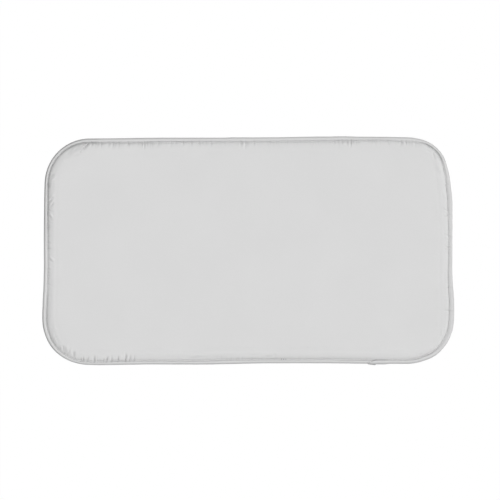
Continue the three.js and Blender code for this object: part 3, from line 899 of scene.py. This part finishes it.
def makeTape():
    stations = stitchCount * foldedTape["stationsPerStitch"]
    section = tapeSection()
    stationPlaces = np.arange(stations + 1) / stations * perimeter
    hole = np.arange(stations + 1) % foldedTape["stationsPerStitch"] == 0
    edgeShift = foldedTape["edgeWander"] * wander(stationPlaces, foldedTape["edgeStep"])
    waveAmount = foldedTape["wave"] * (0.5 + 0.5 * wander(stationPlaces, foldedTape["waveStep"]))
    waves = round(perimeter / foldedTape["waveLength"])
    sway, swayStep = foldedTape["waveSway"]
    wavePhase = stationPlaces / perimeter * waves * math.tau + sway * wander(stationPlaces, swayStep)
    ear = earAt(stationPlaces)
    gatherPlaces = seamAt(stationPlaces)[2] + foldedTape["gatherInset"]
    gather = foldedTape["gatherShare"] * puckerHeight(stationPlaces, gatherPlaces)

    def pointsAt(places, row):
        kind, value, wall = section[row]
        inset, height = sectionPoint(places, section[row])
        edge, inward = outlineAt(places)
        lap = lapAt(places, inset)
        up = max(0, math.sin(value)) if kind == "fold" else float(kind == "above")
        out = math.cos(value) if kind == "fold" else 0
        leg = value if kind != "fold" else 0
        fromHoles = (inset - seamAt(places)[1]) / foldedTape["dimpleWidth"]
        sink = np.exp(-(fromHoles ** 2) / 2) * (kind != "fold")
        side = -1 if kind == "below" else 1
        lift = -side * foldedTape["dimple"] * sink * hole
        if not wall:
            turn = row % (len(section) - 1) * foldedTape["waveTurn"]
            lift = lift + waveAmount * np.sin(wavePhase + turn) * (1 - sink) * (1 - out)
        if kind == "above":
            lift = lift + gather * math.sqrt(value)
        reach = inset - (lap * min(1, 1 + math.sin(value)) + ear) * out + edgeShift * leg ** 2
        return np.column_stack([edge + inward * reach[:, None], np.maximum(height + lap * up + lift, 0)])

    middle = np.array([perimeter / 2])
    profile = [[float(value[0]) for value in sectionPoint(middle, row)] for row in section]
    aroundTape = [0]
    for before, after in zip(profile, profile[1:]):
        aroundTape.append(aroundTape[-1] + math.dist(before, after))

    def paintedShadeAt(places, row):
        kind, value, wall = section[row]
        inset = sectionPoint(places, section[row])[0]
        paintedDark = paintedShade(places, inset)
        # Painted shade at the loose tip of the lap
        paintedDark += tapeLap["earPaintedShade"] * ear / tapeLap["earReach"] * (inset < tapeLap["earWidth"])
        # Painted shade in the furrows that the gathering draws across the tape
        if kind == "above":
            paintedDark += puckering["paintedShade"] * np.clip(-gather, 0, puckering["paintedShadeDepth"]) / mm
        # Painted shadow along the slanting end of the lap
        if kind == "above" or kind == "fold" and value > 0:
            end = (pastLapEnd(places, inset) + tapeLap["line"] / 4) / tapeLap["line"]
            paintedDark += tapeLap["paintedShade"] * np.exp(-(end ** 2)) * (inset > tapeLap["tip"] / 2)
        return np.clip(paintedDark, 0, 1)

    tape = stripMesh(stations, len(section), pointsAt, lambda row: aroundTape[row], {"paintedShade": paintedShadeAt})
    closeStrip(tape)
    bmesh.ops.recalc_face_normals(tape, faces=tape.faces)
    return finishMesh("folded_tape", tape, finishes["tape"], ["edge_binding"])


tape = makeTape()
print("tape:", len(tape.data.polygons), "faces")


# Lockstitch: one short arch of thread from hole to hole on either side
stitches = {"diameter": 0.45 * mm, "length": 3.1 * mm, "lift": 0.099 * mm, "sides": 6, "rings": 5}


def stitchShape(spot, height, turn, tilt, length, diameter):
    return (
        Matrix.Translation((*spot, height)) @ Matrix.Rotation(turn, 4, "Z")
        @ Matrix.Rotation(-tilt, 4, "Y") @ Matrix.Diagonal((length, diameter, diameter, 1))
    )


# Copies of one stitch, moved to where the matrices say
def sewStitches(name, shapes, material, nodes):
    one = bmesh.new()
    bmesh.ops.create_uvsphere(
        one, u_segments=stitches["sides"], v_segments=stitches["rings"], radius=0.5,
        matrix=Matrix.Rotation(quarter, 4, "Y"),
    )
    mesh = meshFrom("oneStitch", one)
    seam = bmesh.new()
    for _ in shapes:
        seam.from_mesh(mesh)
    count = len(mesh.vertices)
    for index, vert in enumerate(seam.verts):
        vert.co = shapes[index // count] @ vert.co
    bpy.data.meshes.remove(mesh)
    return finishMesh(name, seam, material, nodes)


def makeStitches(name, side, node):
    shapes = []
    half = perimeter / stitchCount / 2
    for index in range(stitchCount):
        places = perimeter * (index + 0.5) / stitchCount + np.array([-half, 0, half])
        inset = seamAt(places)[1]
        spots = spotsAt(places, inset)
        turn = math.atan2(spots[2][1] - spots[0][1], spots[2][0] - spots[0][0])
        if side > 0:
            height = tapeTop(places, inset)[1] + lapAt(places, inset)[1] + stitches["lift"]
        else:
            height = tapeBottom(places, inset)[1] - stitches["lift"]
        shapes.append(stitchShape(spots[1], height, turn, 0, stitches["length"], stitches["diameter"]))
    return sewStitches(name, shapes, finishes["thread"], [node])


needleSeam = makeStitches("needle_stitches", 1, "needle_thread")
bobbinSeam = makeStitches("bobbin_stitches", -1, "bobbin_thread")

# A few hand stitches across the tape's edge on the front side
tacks = {
    "places": [2153.5, 2158, 2162.5],
    "reach": (-3.2, 1.2),  # from the inner edge of the tape, in millimetres
    "diameter": 0.8 * mm, "height": 5.2 * mm, "tilt": 0.25,
}


def makeTacks():
    shapes = []
    near, far = tacks["reach"]
    for place in tacks["places"]:
        spots = np.array([place * mm])
        edge, inward = outlineAt(spots)
        spot = edge[0] + inward[0] * (seamAt(spots)[2][0] + (near + far) / 2 * mm)
        turn = math.atan2(inward[0][1], inward[0][0])
        length = (far - near) * mm
        shapes.append(stitchShape(spot, tacks["height"], turn, tacks["tilt"], length, tacks["diameter"]))
    return sewStitches("hand_tacks", shapes, finishes["tack"], [])


handTacks = makeTacks()
print("stitches:", stitchCount)


# The back cloth lies flat on the table inside its bound edge
backing = {
    "stations": 1400,
    "rows": [(0, -1), (0, 0), (1, 0), (2, -0.3), (2, 0.5), (2, 1.3), (2, 2.3), (2, 3.5), (2, 5), (2, 7),
             (2, 10), (2, 14)],
    "net": 22 * mm, "puckerShare": 0.4,
}


def makeBacking():
    def pointsAt(places, row):
        inset = insetOf(places, backing["rows"][row])
        height = backBottom(places, inset) + backing["puckerShare"] * np.abs(puckerHeight(places, inset))
        return np.column_stack([spotsAt(places, inset), height])

    sheet = stripMesh(backing["stations"], len(backing["rows"]), pointsAt)
    closeStrip(sheet)
    fillMiddle(sheet, backing["net"])
    faceUp(sheet, -1)
    piece = finishMesh("plain_backing", sheet, finishes["back"], ["back_cloth"])
    addWall(piece, padSection["clothThickness"])
    return piece


backSheet = makeBacking()

# The hidden layers: closed slabs between the two cloths, by shares of the room there
hiddenLayers = {
    "stations": 500,
    "rows": [(0, -0.5), (0, 0.3), (1, -0.6), (1, 0), (2, -0.2), (2, 1), (2, 2.2), (2, 4), (2, 6), (2, 9),
             (2, 13), (2, 18)],
    "leastFelt": 0.3 * mm,
    "roomFrom": (6 * mm, 9 * mm),  # where the felts make room for the folds
    "roomTo": (20 * mm, 30 * mm),
}


def layerHeights(places, inset, part):
    gap = padSection["layerGap"]
    film = padSection["barrierThickness"]
    low = backBottom(places, inset) + padSection["clothThickness"] + gap
    room = ease(inset, *hiddenLayers["roomFrom"]) * (1 - ease(inset, *hiddenLayers["roomTo"]))
    high = faceTop(places, inset) - padSection["clothThickness"] - gap - padSection["furrowRoom"] * room
    felts = np.maximum(high - low - film - 2 * gap, hiddenLayers["leastFelt"])
    lowerTop = low + felts * (1 - padSection["upperFeltShare"])
    return {
        "lowerFelt": (low, lowerTop),
        "foil": (lowerTop + gap, lowerTop + gap + film),
        "upperFelt": (lowerTop + film + 2 * gap, low + felts + film + 2 * gap),
    }[part]


def makeLayer(name, part, node):
    rows = hiddenLayers["rows"]
    path = [(row, 0) for row in reversed(rows)] + [(row, 1) for row in rows]

    def pointsAt(places, index):
        row, side = path[index]
        inset = insetOf(places, row)
        return np.column_stack([spotsAt(places, inset), layerHeights(places, inset, part)[side]])

    slab = stripMesh(hiddenLayers["stations"], len(path), pointsAt)
    closeStrip(slab)
    bmesh.ops.holes_fill(slab, edges=[edge for edge in slab.edges if edge.is_boundary], sides=0)
    bmesh.ops.recalc_face_normals(slab, faces=slab.faces)
    return finishMesh(name, slab, finishes[part], [node])


upperFelt = makeLayer("upper_felt_layer", "upperFelt", "upper_felt")
foil = makeLayer("foil_barrier_film", "foil", "heat_barrier")
lowerFelt = makeLayer("lower_felt_layer", "lowerFelt", "lower_felt")
print("hidden layers made")

# The size that the soft layers were cut to: the raw edges lie inside the tape
rawInset = 3.8 * mm
cutSize = (fineOutline.max(axis=0) - fineOutline.min(axis=0) - 2 * rawInset)[::-1]
tuple(cutSize)
tuple(cutSize)
tuple(cutSize)

# Floor, light and camera
studio = {
    "floorSize": 6, "floorDrop": 0.3 * mm, "floorShade": 0.05, "floorWhite": 0.97, "floorGlow": 1.03,
    "skyLight": 0.04,
    # strength, width in degrees and direction
    "lamps": {"overhead": (1.98, 35, (0, 0, 1)), "side": (1.33, 25, (1, 0.1, 0.8))}, "lens": 85,
    "sensor": 36, "pixel": 2.0146 * mm, "frameSide": 500, "centrePixel": (248, 250.7),
    "focusHeight": 3.4 * mm,
}


def seenByEye(finish):
    kinds = [finish.add("ShaderNodeLightPath", output=name) for name in (
        "Is Camera Ray", "Is Glossy Ray", "Is Transmission Ray")]
    return kinds[0] + kinds[1] + kinds[2]


def makeFloor():
    finish = Finish("paleFloor")
    grain = finish.add("ShaderNodeTexNoise", values={"Scale": 40.0})
    shade = finish.blend(grain, grey(studio["floorShade"] * 0.99), grey(studio["floorShade"]))
    lit = finish.add("ShaderNodeBsdfDiffuse", values={"Color": shade})
    white = finish.add("ShaderNodeEmission", values={"Color": grey(1), "Strength": studio["floorGlow"]})
    eye = seenByEye(finish) * studio["floorWhite"]
    mixed = finish.add("ShaderNodeMixShader", values={0: eye, 1: lit, 2: white})
    ground = bmesh.new()
    bmesh.ops.create_grid(ground, x_segments=4, y_segments=4, size=studio["floorSize"] / 2)
    mesh = meshFrom("floor", ground)
    mesh.transform(Matrix.Translation((0, 0, -studio["floorDrop"])))
    mesh.materials.append(finish.finishWith("ShaderNodeOutputMaterial", mixed))
    floor = addObject("floor", mesh)


def makeLight():
    world = bpy.data.worlds.new("softSky")
    bpy.context.scene.world = world
    sky = Finish("softSky", world)
    strength = seenByEye(sky) * (1 - studio["skyLight"]) + studio["skyLight"]
    light = sky.add("ShaderNodeBackground", values={"Color": grey(1), "Strength": strength})
    sky.finishWith("ShaderNodeOutputWorld", light)
    for name, (strength, width, direction) in studio["lamps"].items():
        lamp = bpy.data.lights.new(name, "SUN")
        lamp.energy = strength
        lamp.angle = math.radians(width)
        addObject(name, lamp).rotation_euler = Vector(direction).to_track_quat("Z", "Y").to_euler()


def makeCamera():
    camera = addObject("camera", bpy.data.cameras.new("camera"))
    camera.data.lens, camera.data.sensor_width = studio["lens"], studio["sensor"]
    half = studio["frameSide"] / 2
    distance = studio["pixel"] * half / (studio["sensor"] / 2 / studio["lens"])
    x = (half - studio["centrePixel"][0]) * studio["pixel"]
    y = (studio["centrePixel"][1] - half) * studio["pixel"]
    camera.location = (x, y, distance + studio["focusHeight"])
    bpy.context.scene.camera = camera


makeFloor()
makeLight()
makeCamera()
bpy.context.scene.view_settings.view_transform = "Standard"
print("floor, light and camera set")
